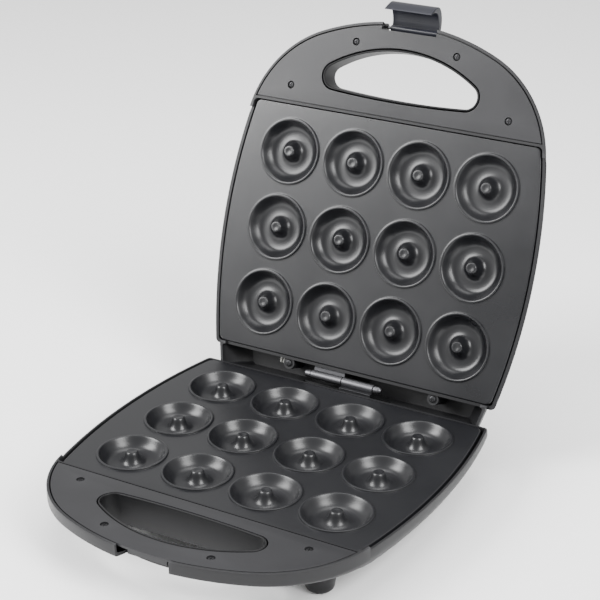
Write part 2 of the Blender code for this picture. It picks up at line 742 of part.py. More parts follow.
def build_reflector(side, name):
    """A shallow tray of thin sheet under the element."""
    low, high = sorted((side * 0.0240, side * 0.0250))
    outline = pan_outline(0.042, -0.080, 0.080, 0.012, 0.012)
    tray = put(name, flat_mesh(name, [outline], low, high), FRAMES[side], tray_aluminium())
    lip_low, lip_high = sorted((side * 0.0190, side * 0.0246))
    inner = pan_outline(0.043, -0.079, 0.079, 0.011, 0.011)
    lip = put(name + ".lip", flat_mesh("lip", [outline, inner], lip_low, lip_high), FRAMES[side])
    return boolean(tray, lip, "UNION")


# ---- hinge ----------------------------------------------------------------------------------
def build_hinge():
    """Two steel brackets with one long knuckle each, and the pin through both."""
    ends = (HINGE_MIDDLE - KNUCKLE_SPAN, HINGE_MIDDLE, HINGE_MIDDLE + KNUCKLE_SPAN)
    ring = [circle((HINGE_Y, HINGE_Z), KNUCKLE_RADIUS, 16), circle((HINGE_Y, HINGE_Z), PIN_RADIUS + GAP, 16)]
    for side, name in ((-1, "base_hinge_bracket"), (1, "lid_hinge_bracket")):
        x0, x1 = (ends[1] + GAP / 2, ends[2]) if side < 0 else (ends[0], ends[1] - GAP / 2)
        bracket = put(name, side_mesh(name, ring, x0, x1), FRAMES[side], hinge_steel())
        edge = HINGE_Z + side * (KNUCKLE_RADIUS - 0.0003)
        near, far = sorted((edge, edge - side * LEAF))
        leaf = box_mesh("leaf", (x0, BULKHEAD_REAR + GAP, near), (x1, HINGE_Y, far))
        boolean(bracket, put(name + ".leaf", leaf, FRAMES[side]), "UNION")
        low, high = sorted((edge - side * LEAF, side * 0.0160))
        flange = box_mesh("flange", (x0, BULKHEAD_REAR + GAP, low), (x1, BULKHEAD_REAR + GAP + LEAF, high))
        boolean(bracket, put(name + ".flange", flange, FRAMES[side]), "UNION")
        for place in hinge_screw_places(side):
            drill = bore_mesh(SCREW_SHANK + GAP, 0.006, "X")
            boolean(bracket, put(name + ".bore", drill, FRAMES[side], None, place))
        smooth(bracket)
        head = ((0.0, 0.0016), (0.0019, 0.0014), (0.0025, GAP), (SCREW_SHANK, GAP), (SCREW_SHANK, -0.0045),
                (0.0, -0.0050))
        screw = turned_mesh("screw", head, 8)
        screw.transform(Matrix.Rotation(-math.pi / 2, 4, "X"))
        for number, place in enumerate(hinge_screw_places(side), 1):
            screw_name = name.replace("bracket", "screw") + f"_{number}"
            smooth(put(screw_name, screw, FRAMES[side], black_steel(), place))
    reach = KNUCKLE_SPAN + GAP * 2
    head = ((0.0, reach + 0.0062), (0.0022, reach + 0.0055), (0.0031, reach + 0.0040), (0.0031, reach),
            (PIN_RADIUS, reach), (PIN_RADIUS, -reach), (0.0031, -reach), (0.0031, -reach - 0.0028),
            (0.0022, -reach - 0.0043), (0.0, -reach - 0.0050))
    pin = turned_mesh("hinge_pin", head, 12)
    pin.transform(Matrix.Rotation(math.pi / 2, 4, "Y"))
    smooth(put("hinge_pin", pin, base_frame, hinge_steel(), (HINGE_MIDDLE, HINGE_Y, HINGE_Z)))


# ---- latch ----------------------------------------------------------------------------------
def build_latch():
    barrel = [circle((LATCH_Y, LATCH_Z), 0.0024, 12), circle((LATCH_Y, LATCH_Z), 0.0015, 12)]
    latch = put("latch", side_mesh("latch", barrel, -LATCH_HALF, LATCH_HALF), latch_frame, latch_plastic())
    catch = -HOOK_DROP - GAP
    plate = [(LATCH_Y - 0.0016, LATCH_Z - 0.0012), (-0.1745, 0.0040), (-0.1752, -0.0020),
             (-0.1744, catch + 0.0014), (-0.1728, catch), (-0.1666, catch), (-0.1660, catch - 0.0009),
             (-0.1668, catch - 0.0020), (-0.1735, catch - 0.0024), (-0.1764, catch - 0.0010),
             (-0.1778, catch + 0.0025), (-0.1782, -0.0010), (-0.1773, 0.0055),
             (-0.1752, LATCH_Z + 0.0002), (LATCH_Y - 0.0016, LATCH_Z + 0.0017)]
    tool = put("latch.plate", side_mesh("plate", [plate], -LATCH_HALF, LATCH_HALF), latch_frame)
    boolean(latch, tool, "UNION")
    pin = turned_mesh("latch_pin", ((0.0, 0.0252), (0.0012, 0.0252), (0.0012, -0.0252), (0.0, -0.0252)), 10)
    pin.transform(Matrix.Rotation(math.pi / 2, 4, "Y"))
    smooth(put("latch_pin", pin, lid_frame, hinge_steel(), (0.0, LATCH_Y, LATCH_Z)))
    return latch


# ---- rubber pads, screws and lenses ---------------------------------------------------------
def build_pads():
    floor = -MEET_HEIGHT
    profile = ((0.0, PAD_THICK), (PAD_RADIUS, PAD_THICK), (PAD_RADIUS, 0.0005), (PAD_RADIUS * 0.93, 0.0),
               (0.0, 0.0))
    one = turned_mesh("pad", profile, 14)
    places = [(sx * x, y, floor) for x, y in FEET for sx in (-1, 1)]
    for x, y in FEET:
        for sx in (-x, x):
            seat = flat_mesh("seat", [circle((sx, y), PAD_RADIUS + GAP, 14)], floor - 0.01,
                             floor + PAD_THICK + GAP)
            boolean(bpy.data.objects["base_housing"], put("base_housing.pad.seat", seat, base_frame))
    put_copies("foot_pad", one, -1, black_rubber(), places)


def build_body_screws():
    """Screws from under the base up into the plate's bosses."""
    profile = ((0.0, -0.0100), (SCREW_SHANK, -0.0106), (SCREW_SHANK, -0.0201), (SCREW_HEAD, -0.0201),
               (SCREW_HEAD, -0.0212), (SCREW_HEAD * 0.7, -0.0218), (0.0, -0.0218))
    one = turned_mesh("screw", profile, 8)
    places = [(sx * PLATE_POSTS[0], sy * PLATE_POSTS[1], 0.0) for sx in (-1, 1) for sy in (-1, 1)]
    put_copies("base_body_screw", one, -1, black_steel(), places)


def build_lenses():
    """Two lenses in the lid's top, with a small lamp behind each."""
    profile = ((0.0, 0.0368), (0.0022, 0.0366), (0.0034, 0.0358), (0.0034, 0.0332), (0.0050, 0.0332),
               (0.0050, 0.0322), (0.0, 0.0322))
    lamp = ((0.0, 0.0318), (0.0016, 0.0312), (0.0019, 0.0290), (0.0019, 0.0262), (0.0, 0.0256))
    shades = ((0.55, 0.03, 0.02), (0.04, 0.40, 0.06))
    for (x, y), name, colour in zip(LAMPS, ("power_light_lens", "ready_light_lens"), shades):
        smooth(put(name, turned_mesh(name, profile, 14), lid_frame, lens(colour), (x, y, 0.0)))
    neon = turned_mesh("lamp", lamp, 10)
    for (x, y), name in zip(LAMPS, ("power_lamp", "ready_lamp")):
        smooth(put(name, neon, lid_frame, lens((0.8, 0.5, 0.3)), (x, y, 0.0)))


# ---- electrics ------------------------------------------------------------------------------
def build_thermostats():
    """A button thermostat and a thermal fuse under a cup of each plate."""
    top = -CUP_BELLY_DROP - GAP
    profile = ((0.0, top), (0.0085, top), (0.0085, top - 0.0042), (0.0065, top - 0.0042),
               (0.0065, top - 0.0092), (0.0, top - 0.0092))
    x, y = THERMOSTAT_AT
    for side, half in ((-1, "base"), (1, "lid")):
        name = half + "_thermostat"
        one = turned_mesh(name, profile, 14)
        body = copies_mesh(name, one, [(x, y, 0.0)], side > 0)
        smooth(put(name, body, FRAMES[side], ceramic()))
    fuse = turned_mesh("thermal_fuse", ((0.0, 0.0075), (0.0019, 0.0068), (0.0019, -0.0068), (0.0, -0.0075)), 10)
    fuse.transform(Matrix.Rotation(math.pi / 2, 4, "Y"))
    smooth(put("thermal_fuse", fuse, base_frame, tray_aluminium(), (-0.0290, 0.0, -CUP_BELLY_DROP - 0.0024)))


def build_terminal_block():
    low, high = (-0.0820, 0.0790, -0.0325), (-0.0560, 0.0870, -0.0255)
    block = put("terminal_block", box_mesh("terminal_block", low, high), base_frame, ceramic())
    for i in range(3):
        x = -0.0775 + i * 0.0085
        slot = box_mesh("slot", (x - 0.0025, 0.0, -0.0275), (x + 0.0025, 0.2, -0.0240))
        boolean(block, put("terminal_block.slot", slot, base_frame))
    return block


def build_gland():
    """A rubber bush in the tail's rear wall, where a mains cord would enter."""
    profile = ((0.0022, 0.0046), (0.0042, 0.0046), (0.0052, 0.0040), (0.0052, 0.0019), (0.0039, 0.0019),
               (0.0039, -0.0044), (0.0022, -0.0044))
    mesh = turned_mesh("cord_gland", profile, 12, True)
    mesh.transform(Matrix.Rotation(-math.pi / 2, 4, "X"))
    return smooth(put("cord_gland", mesh, base_frame, black_rubber(), GLAND_AT))


def build_wiring(side, name, routes):
    """Sleeved leads, each one whole from end to end."""
    for number, route in enumerate(routes, 1):
        points = [(x, y, z * -side) for x, y, z in route]
        smooth(put(f"{name}_{number}", tube_mesh("lead", points, LEAD_RADIUS), FRAMES[side], sleeve()))


def element_tail(sign):
    """Where a lead leaves an element's cold end, drawn for the base."""
    y = sign * PITCH_Y / 2
    return [(-0.10216, y, -0.0164), (-0.1048, y, -0.0206)]


def base_routes():
    x, y = THERMOSTAT_AT
    z = -CUP_BELLY_DROP - 0.0072
    to_block = element_tail(1) + [
        (-0.1040, 0.0360, -0.0235), (-0.1035, 0.0480, -0.0270), (-0.0990, 0.0600, -0.0290),
        (-0.0850, 0.0700, -0.0295), (-0.0775, 0.0740, -0.0300), (-0.0775, 0.0780, -0.0300)]
    to_fuse = element_tail(-1) + [
        (-0.1040, -0.0250, -0.0190), (-0.0970, -0.0205, -0.0176), (-0.0800, -0.0140, -0.0178),
        (-0.0560, -0.0020, -0.0170), (-0.0370, 0.0, -CUP_BELLY_DROP - 0.0024)]
    to_stat = [(-0.0211, 0.0, -CUP_BELLY_DROP - 0.0024), (-0.0100, 0.0, -0.0170), (0.0060, 0.0, z),
               (x - 0.0068, y, z)]
    back = [(x + 0.0068, y, z), (0.0500, 0.0080, -0.0190), (0.0620, 0.0320, -0.0178),
            (0.0560, 0.0640, -0.0168), (0.0400, 0.0840, -0.0172), (0.0100, 0.0870, -0.0240),
            (-0.0250, 0.0870, -0.0270), (-0.0450, 0.0840, -0.0290), (-0.0557, 0.0830, -0.0290)]
    return to_block, to_fuse, to_stat, back


def lid_routes():
    x, y = THERMOSTAT_AT
    z = -CUP_BELLY_DROP - 0.0072
    exit_x, exit_z = LID_LEAD_EXIT
    first = element_tail(1) + [
        (-0.1040, 0.0360, -0.0215), (-0.1035, 0.0560, -0.0220), (-0.0940, 0.0840, -0.0220),
        (exit_x - 0.0013, 0.0950, exit_z), (exit_x - 0.0013, 0.1090, exit_z)]
    second = element_tail(-1) + [
        (-0.1040, -0.0250, -0.0190), (-0.0970, -0.0205, -0.0176), (-0.0800, -0.0140, -0.0178),
        (-0.0200, -0.0020, -0.0180), (x - 0.0068, y, z)]
    third = [(x + 0.0068, y, z), (0.0500, 0.0080, -0.0190), (0.0620, 0.0320, -0.0178),
             (0.0560, 0.0640, -0.0168), (0.0300, 0.0870, -0.0172), (-0.0400, 0.0915, -0.0190),
             (exit_x + 0.0013, 0.0955, exit_z), (exit_x + 0.0013, 0.1090, exit_z)]
    return first, second, third


# ---- build ----------------------------------------------------------------------------------
for side, half in ((-1, "base"), (1, "lid")):
    build_housing(side, half + "_housing")
    build_cover(side, half + "_handle_cover")
    build_plate(side, half + "_cooking_plate")
    build_element(side, half + "_heating_element")
    build_reflector(side, half + "_heat_reflector")
    screw_places = [(sx * x, y) for x, y in COVER_SCREWS for sx in (-1, 1)]
    build_screws(side, half + "_cover_screw", screw_places, 0.0009, 0.0080)
screw_at = [(x, BULKHEAD_REAR + 0.0035) for x in TAIL_SCREWS]
build_screws(1, "lid_tail_screw", screw_at, 0.0050 - 0.0016 - GAP, 0.0100)
build_pads()
build_body_screws()
build_lenses()
build_hinge()
build_latch()
build_thermostats()
build_terminal_block()
build_gland()
build_wiring(-1, "base_lead", base_routes())
build_wiring(1, "lid_lead", lid_routes())


# ---- cut every piece, then stand it in its frame ---------------------------------------------
def settle():
    bpy.context.view_layer.update()
    graph = bpy.context.evaluated_depsgraph_get()
    whole = {}
    for obj in parts.objects:
        if obj.type == "MESH" and obj.modifiers:
            whole[obj] = bpy.data.meshes.new_from_object(obj.evaluated_get(graph))
    for obj, mesh in whole.items():
        bm = bmesh.new()
        bm.from_mesh(mesh)
        bmesh.ops.triangulate(bm, faces=bm.faces)
        bmesh.ops.remove_doubles(bm, verts=bm.verts, dist=2e-6)
        bm.to_mesh(mesh)
        bm.free()
        obj.modifiers.clear()
        obj.data = mesh
    for obj in list(parts.objects):
        if obj.name in stands_in:
            obj.parent = stands_in[obj.name]
    for obj in list(cutters.objects):
        obj.parent = stands_in[obj.name]


settle()
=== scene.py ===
import json
import math

import bmesh
import bpy
from mathutils import Matrix, Vector


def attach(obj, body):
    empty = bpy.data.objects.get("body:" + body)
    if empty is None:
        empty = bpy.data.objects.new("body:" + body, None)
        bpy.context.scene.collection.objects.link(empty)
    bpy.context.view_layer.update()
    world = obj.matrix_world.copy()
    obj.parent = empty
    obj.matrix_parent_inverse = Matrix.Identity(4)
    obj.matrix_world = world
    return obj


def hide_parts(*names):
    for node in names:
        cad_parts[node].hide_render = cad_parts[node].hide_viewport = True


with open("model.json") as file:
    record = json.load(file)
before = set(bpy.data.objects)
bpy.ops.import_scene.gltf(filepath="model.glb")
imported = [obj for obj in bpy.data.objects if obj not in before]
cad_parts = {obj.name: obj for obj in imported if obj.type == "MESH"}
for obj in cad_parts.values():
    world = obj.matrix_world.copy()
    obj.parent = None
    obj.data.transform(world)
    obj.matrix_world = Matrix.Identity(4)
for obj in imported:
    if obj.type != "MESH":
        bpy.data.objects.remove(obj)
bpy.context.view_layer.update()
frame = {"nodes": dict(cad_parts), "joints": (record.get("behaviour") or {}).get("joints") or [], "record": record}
print("frame loaded")

joints = {joint["name"]: joint for joint in frame["joints"]}
mm = 0.001

# where the closed drawing's hinge and latch pins lie; the meeting plane is z = 0
stance = {"hingeBack": 109.5, "hingeUp": 1.8, "pinFront": -171.2, "pinUp": 10.5}
hingeAt = Vector(joints["lid_hinge"]["pos_m"])
pinAt = Vector(joints["latch_swing"]["pos_m"])
openTurn = -math.radians(joints["lid_hinge"]["range_deg"][1])
latchTurn = openTurn - math.radians(joints["latch_swing"]["range_deg"][1])


def placed(at, turn, y, z):
    # brings the drawing's point (y, z) to a joint, turned about that joint
    toPin = Matrix.Translation((0, -y * mm, -z * mm))
    return Matrix.Translation(at) @ Matrix.Rotation(turn, 4, "X") @ toPin


baseFrame = placed(hingeAt, 0, stance["hingeBack"], stance["hingeUp"])
lidFrame = placed(hingeAt, openTurn, stance["hingeBack"], stance["hingeUp"])
latchFrame = placed(pinAt, latchTurn, stance["pinFront"], stance["pinUp"])
millimetres = Matrix.Diagonal((mm, mm, mm, 1))
upsideDown = Matrix.Diagonal((mm, mm, -mm, 1))      # the lid is the base's mirror image
halves = {"base": baseFrame @ millimetres, "lid": lidFrame @ upsideDown}


# materials

def newMaterial(name):
    mat = bpy.data.materials.new(name)
    mat.use_nodes = True
    tree = mat.node_tree
    return mat, tree.nodes, tree.links, tree.nodes["Principled BSDF"]


def noiseFrom(nodes, links, coord, scale, detail):
    noise = nodes.new("ShaderNodeTexNoise")
    noise.inputs["Scale"].default_value = scale
    noise.inputs["Detail"].default_value = detail
    links.new(coord.outputs["Object"], noise.inputs["Vector"])
    return noise


def spread(nodes, links, source, low, high):
    span = nodes.new("ShaderNodeMapRange")
    span.inputs["From Min"].default_value = 0.3
    span.inputs["From Max"].default_value = 0.7
    span.inputs["To Min"].default_value = low
    span.inputs["To Max"].default_value = high
    links.new(source, span.inputs["Value"])
    return span.outputs["Result"]


# the last three entries set the painted highlight along convex edges: where it starts and ends by pointiness, and
# how much lighter it is
look = {"patch": 14.0, "patchDetail": 3.0, "patchEnds": (0.32, 0.68), "grainDetail": 2.0,
        "grainHeight": 0.0002, "highlightEnds": (0.53, 0.62), "highlightGain": 2.6, "highlightLift": 0.02}


def rampOf(nodes, links, source, ends, colours):
    ramp = nodes.new("ShaderNodeValToRGB")
    for element, place, colour in zip(ramp.color_ramp.elements, ends, colours):
        element.position = place
        element.color = (*colour, 1)
    links.new(source, ramp.inputs["Fac"])
    return ramp.outputs["Color"]


def finished(name, dark, light, rough, grain, grainDepth, edge=0.0, metal=0.0, coat=0.0, shine=0.5):
    # blotchy colour and roughness, a fine moulded or sprayed grain, and convex edges painted lighter as a painted
    # highlight
    mat, nodes, links, shader = newMaterial(name)
    coord = nodes.new("ShaderNodeTexCoord")
    broad = noiseFrom(nodes, links, coord, look["patch"], look["patchDetail"])
    fine = noiseFrom(nodes, links, coord, grain, look["grainDetail"])
    colour = rampOf(nodes, links, broad.outputs["Fac"], look["patchEnds"], (dark, light))
    # convex edges get a painted highlight: pointiness lifts the colour towards a lighter tone, and edge sets its
    # strength
    if edge:
        geometry = nodes.new("ShaderNodeNewGeometry")
        highlightShades = ((0, 0, 0), (edge, edge, edge))
        edges = rampOf(nodes, links, geometry.outputs["Pointiness"], look["highlightEnds"], highlightShades)
        mix = nodes.new("ShaderNodeMix")
        mix.data_type = "RGBA"
        highlightTone = [min(1.0, c * look["highlightGain"] + look["highlightLift"]) for c in light]
        mix.inputs["B"].default_value = (*highlightTone, 1)
        links.new(edges, mix.inputs["Factor"])
        links.new(colour, mix.inputs["A"])
        colour = mix.outputs["Result"]
    links.new(colour, shader.inputs["Base Color"])
    links.new(spread(nodes, links, broad.outputs["Fac"], rough[0], rough[1]), shader.inputs["Roughness"])
    bump = nodes.new("ShaderNodeBump")
    bump.inputs["Strength"].default_value = grainDepth
    bump.inputs["Distance"].default_value = look["grainHeight"]
    links.new(fine.outputs["Fac"], bump.inputs["Height"])
    links.new(bump.outputs["Normal"], shader.inputs["Normal"])
    shader.inputs["Metallic"].default_value = metal
    shader.inputs["Coat Weight"].default_value = coat
    shader.inputs["Specular IOR Level"].default_value = shine
    return mat


housingPlastic = finished("housingPlastic", (0.009, 0.009, 0.010), (0.013, 0.013, 0.014), (0.34, 0.46),
                          2600, 0.16, edge=0.5, shine=0.24)
coverPlastic = finished("coverPlastic", (0.012, 0.012, 0.013), (0.016, 0.016, 0.0175), (0.30, 0.40),
                        3000, 0.10, edge=0.3, shine=0.28)
nonStick = finished("nonStickCoating", (0.0055, 0.0057, 0.0068), (0.0075, 0.0077, 0.0090), (0.27, 0.36),
                    3600, 0.12, edge=0.2, shine=0.42)
# a darker copy of the housing plastic for the grip hole's wall: painted shade inside the hole
shadedTubePlastic = finished("shadedTubePlastic", (0.006, 0.006, 0.0065), (0.009, 0.009, 0.0095), (0.42, 0.54),
                       2600, 0.16, edge=0.8, shine=0.14)
latchPlastic = finished("latchPlastic", (0.005, 0.0055, 0.009), (0.008, 0.0085, 0.013), (0.28, 0.38),
                        3200, 0.08, edge=0.4, shine=0.32)
hingeSteel = finished("hingeSteel", (0.045, 0.045, 0.048), (0.085, 0.085, 0.09), (0.30, 0.44),
                      1400, 0.25, edge=0.3, metal=1.0)
blackSteel = finished("blackSteel", (0.010, 0.010, 0.011), (0.026, 0.026, 0.028), (0.34, 0.50),
                      2200, 0.20, edge=0.5, metal=0.7)
sheathSteel = finished("elementSheath", (0.15, 0.13, 0.12), (0.26, 0.25, 0.24), (0.40, 0.60),
                       1800, 0.30, edge=0.2, metal=1.0)
traySheet = finished("traySheet", (0.55, 0.55, 0.56), (0.68, 0.68, 0.69), (0.25, 0.42),
                     900, 0.15, metal=1.0)
rubber = finished("footRubber", (0.014, 0.014, 0.014), (0.024, 0.024, 0.024), (0.70, 0.86),
                  2400, 0.35, edge=0.4)
ceramicGrey = finished("ceramic", (0.66, 0.63, 0.57), (0.76, 0.73, 0.68), (0.42, 0.58),
                       2000, 0.25)
glassSleeve = finished("wireSleeve", (0.46, 0.46, 0.43), (0.60, 0.60, 0.57), (0.62, 0.80),
                       3800, 0.60)
redLens = finished("redLens", (0.42, 0.015, 0.010), (0.52, 0.03, 0.02), (0.08, 0.16),
                   1500, 0.05, coat=0.6)
greenLens = finished("greenLens", (0.02, 0.30, 0.05), (0.04, 0.38, 0.07), (0.08, 0.16),
                     1500, 0.05, coat=0.6)
lampGlass = finished("lampGlass", (0.60, 0.36, 0.20), (0.74, 0.48, 0.30), (0.12, 0.24),
                     1500, 0.05)
print("materials made")


# drawing and solid helpers, all in millimetres

merge = {"draw": 0.002, "mesh": 0.0005, "cut": 0.0008, "cups": 0.01}


def newVerts(bm, known):
    return [v for v in bm.verts if v not in known]


def edgesOf(verts):
    # each edge once, in an order that's the same in every run
    return list(dict.fromkeys(e for v in verts for e in v.link_edges))


def drawLoop(bm, path, height):
    # the right half of a plan from front to rear, mirrored and closed; arcs are (centre, angle, steps)
    known = set(bm.verts)
    last = bm.verts.new((*path[0], 0))
    for step in path[1:]:
        if len(step) == 2:
            last = bmesh.ops.extrude_vert_indiv(bm, verts=[last])["verts"][0]
            last.co = (*step, 0)
        else:
            centre, angle, steps = step
            made = bmesh.ops.spin(bm, geom=[last], cent=(*centre, 0), axis=(0, 0, 1), angle=angle,
                                  steps=steps)
            last = [v for v in made["geom_last"] if isinstance(v, bmesh.types.BMVert)][0]
    half = newVerts(bm, known)
    edges = edgesOf(half)
    bmesh.ops.mirror(bm, geom=half + edges, matrix=Matrix.Identity(4), merge_dist=merge["draw"], axis="X")
    loop = newVerts(bm, known)
    ends = [v for v in loop if len(v.link_edges) == 1]
    if ends:
        bm.edges.new(ends)
    for v in loop:
        v.co.z = height(v.co.y) if callable(height) else height
    return edgesOf(loop)


def loft(bm, loops, caps=True):
    for lower, upper in zip(loops, loops[1:]):
        bmesh.ops.bridge_loops(bm, edges=lower + upper)
    if caps:
        for loop in (loops[0], loops[-1]):
            bmesh.ops.edgeloop_fill(bm, edges=loop)


def spinProfile(bm, profile, steps, about, axis="Z"):
    # a turned shape from (radius, height) points, moved to a point of two or three numbers
    known = set(bm.verts)
    verts = [bm.verts.new((r, 0, z)) for r, z in profile]
    edges = [bm.edges.new(pair) for pair in zip(verts, verts[1:])]
    bmesh.ops.spin(bm, geom=verts + edges, cent=(0, 0, 0), axis=(0, 0, 1), angle=math.tau, steps=steps,
                   use_merge=True)
    made = newVerts(bm, known)
    bmesh.ops.remove_doubles(bm, verts=made, dist=merge["draw"])
    made = newVerts(bm, known)
    if axis == "X":
        bmesh.ops.rotate(bm, cent=(0, 0, 0), matrix=Matrix.Rotation(math.pi / 2, 3, "Y"), verts=made)
    bmesh.ops.translate(bm, vec=(*about, 0)[:3], verts=made)
    return made


def addBox(bm, low, high, bevel=0.0):
    known = set(bm.verts)
    bmesh.ops.create_cube(bm, size=1)
    made = newVerts(bm, known)
    size = [b - a for a, b in zip(low, high)]
    middle = [(a + b) / 2 for a, b in zip(low, high)]
    bmesh.ops.scale(bm, vec=size, verts=made)
    bmesh.ops.translate(bm, vec=middle, verts=made)
    if bevel:
        edges = edgesOf(made)
        bmesh.ops.bevel(bm, geom=edges, offset=bevel, segments=2, profile=0.5, affect="EDGES",
                        material=-1)


def toMesh(bm, name):
    bmesh.ops.remove_doubles(bm, verts=bm.verts, dist=merge["mesh"])
    bmesh.ops.recalc_face_normals(bm, faces=bm.faces)
    mesh = bpy.data.meshes.new(name)
    bm.to_mesh(mesh)
    bm.free()
    return mesh


def solid(name, bm):
    obj = bpy.data.objects.new(name, toMesh(bm, name))
    bpy.context.scene.collection.objects.link(obj)
    return obj


def combine(obj, tool, operation):
    mod = obj.modifiers.new(operation, "BOOLEAN")
    mod.operation = operation
    mod.solver = "EXACT"
    mod.object = tool
    obj["tools"] = list(obj.get("tools", [])) + [tool.name]


def evaluatedMesh(obj):
    bpy.context.view_layer.update()
    graph = bpy.context.evaluated_depsgraph_get()
    mesh = bpy.data.meshes.new_from_object(obj.evaluated_get(graph))
    obj.modifiers.clear()
    return mesh


def dropTools(obj):
    # the cutters go once their cut is made, and a cutter's own cutters with it
    for name in obj.get("tools", []):
        dropTools(bpy.data.objects[name])
        bpy.data.objects.remove(bpy.data.objects[name], do_unlink=True)


def piece(obj, place, mat, body, nodes, slot, sharp=38.0):
    # a drawn piece is cut, its place goes into its mesh, and it is shaded and joined to the frame
    mesh = evaluatedMesh(obj)
    dropTools(obj)
    bm = bmesh.new()
    bm.from_mesh(mesh)
    bmesh.ops.remove_doubles(bm, verts=bm.verts, dist=merge["cut"])
    bm.transform(place)
    if place.determinant() < 0:
        bmesh.ops.reverse_faces(bm, faces=bm.faces)
    bm.to_mesh(mesh)
    bm.free()
    mesh.materials.clear()
    mesh.materials.append(mat)
    mesh.shade_smooth()
    mesh.set_sharp_from_angle(angle=math.radians(sharp))
    obj.data = mesh
    weighted = obj.modifiers.new("weighted", "WEIGHTED_NORMAL")
    weighted.keep_sharp = True
    obj.data = evaluatedMesh(obj)
    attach(obj, body)
    if nodes:
        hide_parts(*nodes)
    return obj


def curved(t, a, b, c, d):
    # a smooth curve from b to c that heads on from a and towards d
    bend = 2 * a - 5 * b + 4 * c - d
    twist = 3 * b - a - 3 * c + d
    return 0.5 * (2 * b + (c - a) * t + bend * t * t + twist * t ** 3)


def smoothRings(points, cuts):
    # more points along a run of points, without sharp turns
    run = []
    for i in range(len(points) - 1):
        around = [points[max(0, min(len(points) - 1, i + k))] for k in (-1, 0, 1, 2)]
        for step in range(cuts):
            t = step / cuts
            run.append(tuple(curved(t, *four) for four in zip(*around)))
    run.append(points[-1])
    return run


# plan of a half

plan = {"halfWidth": 138.3, "widestY": -4.8, "sideRadius": 474.0, "frontY": -176.0, "frontRadius": 194.7,
        "shoulderRadius": 91.0, "arcSteps": 22, "cornerSteps": 7}
grip = {"flatY": -113.3, "flatRadius": 766.0, "frontY": -155.6, "frontRadius": 116.9, "corner": 11.6,
        "cornerDrop": 2.1, "steps": 14, "flatSteps": 6}

sideCentre = (plan["halfWidth"] - plan["sideRadius"], plan["widestY"])
frontCentre = (0.0, plan["frontY"] + plan["frontRadius"])


def touching(centreA, reachA, centreB, reachB):
    # where a circle of the shoulder's size touches both long arcs
    dx, dy = centreB[0] - centreA[0], centreB[1] - centreA[1]
    span = math.hypot(dx, dy)
    along = (reachA ** 2 - reachB ** 2 + span ** 2) / (2 * span)
    off = math.sqrt(reachA ** 2 - along ** 2)
    x = centreA[0] + along * dx / span + off * dy / span
    y = centreA[1] + along * dy / span - off * dx / span
    return x, y


shoulderCentre = touching(sideCentre, plan["sideRadius"] - plan["shoulderRadius"],
                          frontCentre, plan["frontRadius"] - plan["shoulderRadius"])


def aim(start, end):
    return math.atan2(end[1] - start[1], end[0] - start[0])


def handlePath(inset, rearY):
    # the front arc, then the shoulder arc back to rearY
    turn = aim(frontCentre, shoulderCentre)
    last = math.asin((rearY - shoulderCentre[1]) / (plan["shoulderRadius"] - inset))
    start = (0.0, frontCentre[1] - plan["frontRadius"] + inset)
    return [start, (frontCentre, turn + math.pi / 2, plan["arcSteps"]),
            (shoulderCentre, last - turn, plan["arcSteps"])]


def panPath(inset, frontY, rearY, frontCorner, rearCorner):
    # a straight front and rear with round corners, and bowed sides
    radius = plan["sideRadius"] - inset
    centres = []
    for edge, corner, sign in ((frontY, frontCorner, 1), (rearY, rearCorner, -1)):
        y = edge + sign * corner
        centres.append((sideCentre[0] + math.sqrt((radius - corner) ** 2 - (y - sideCentre[1]) ** 2), y))
    low, high = aim(sideCentre, centres[0]), aim(sideCentre, centres[1])
    return [(0.0, frontY), (centres[0][0], frontY), (centres[0], low + math.pi / 2, plan["cornerSteps"]),
            (sideCentre, high - low, plan["arcSteps"]),
            (centres[1], math.pi / 2 - high, plan["cornerSteps"]), (0.0, rearY)]


def gripPath(inset):
    # a bowed front, a round end and a nearly flat rear
    front = (0.0, grip["frontY"] + grip["frontRadius"])
    flat = (0.0, grip["flatY"] - grip["flatRadius"])
    endY = grip["flatY"] - grip["cornerDrop"] - grip["corner"]
    end = (math.sqrt((grip["frontRadius"] - grip["corner"]) ** 2 - (endY - front[1]) ** 2), endY)
    turn, rise = aim(front, end), aim(flat, end)
    start = (0.0, grip["frontY"] + inset)
    return [start, (front, turn + math.pi / 2, grip["steps"]), (end, rise - turn, grip["steps"]),
            (flat, math.pi / 2 - rise, grip["flatSteps"])]


# cooking plates

plateSizes = {"top": 2.3, "skirt": 7.0, "inset": 4.4, "rearY": 100.0, "frontY": -99.1, "pitchX": 58.0,
              "pitchY": 61.8, "ringFoot": 28.3, "steps": 48, "sheet": 1.6, "frontCorner": 4.0,
              "rearCorner": 6.0, "edge": ((0, 1.0), (0.18, 0.42), (0.5, 0.12), (0.95, 0))}
cupProfile = [(0.0, -0.45), (1.4, -0.42), (2.3, -0.2), (3.3, -0.15), (3.95, -0.26), (4.45, -0.7),
              (4.9, -1.7), (5.4, -3.2), (6.0, -4.8), (6.8, -6.4), (7.7, -7.7), (8.8, -8.7), (10.2, -9.3),
              (12.0, -9.55), (14.0, -9.6), (16.0, -9.5), (17.7, -9.2), (19.3, -8.4), (20.7, -7.2),
              (22.0, -5.6), (23.1, -3.9), (24.1, -2.2), (24.7, -1.35), (25.1, -1.02), (25.6, -0.88),
              (26.2, -0.9), (26.6, -1.05), (26.8, -1.4), (26.86, -1.95), (27.0, -2.2), (27.35, -2.3),
              (28.3, -2.3)]


def cupPlaces():
    for column in range(4):
        for row in range(3):
            yield (column - 1.5) * plateSizes["pitchX"], (row - 1) * plateSizes["pitchY"]


def plateLoop(bm, inset, depth):
    path = panPath(plateSizes["inset"] + inset, plateSizes["frontY"] + inset, plateSizes["rearY"] - inset,
                   plateSizes["frontCorner"] - inset * 0.5, plateSizes["rearCorner"] - inset * 0.5)
    return drawLoop(bm, path, -depth)


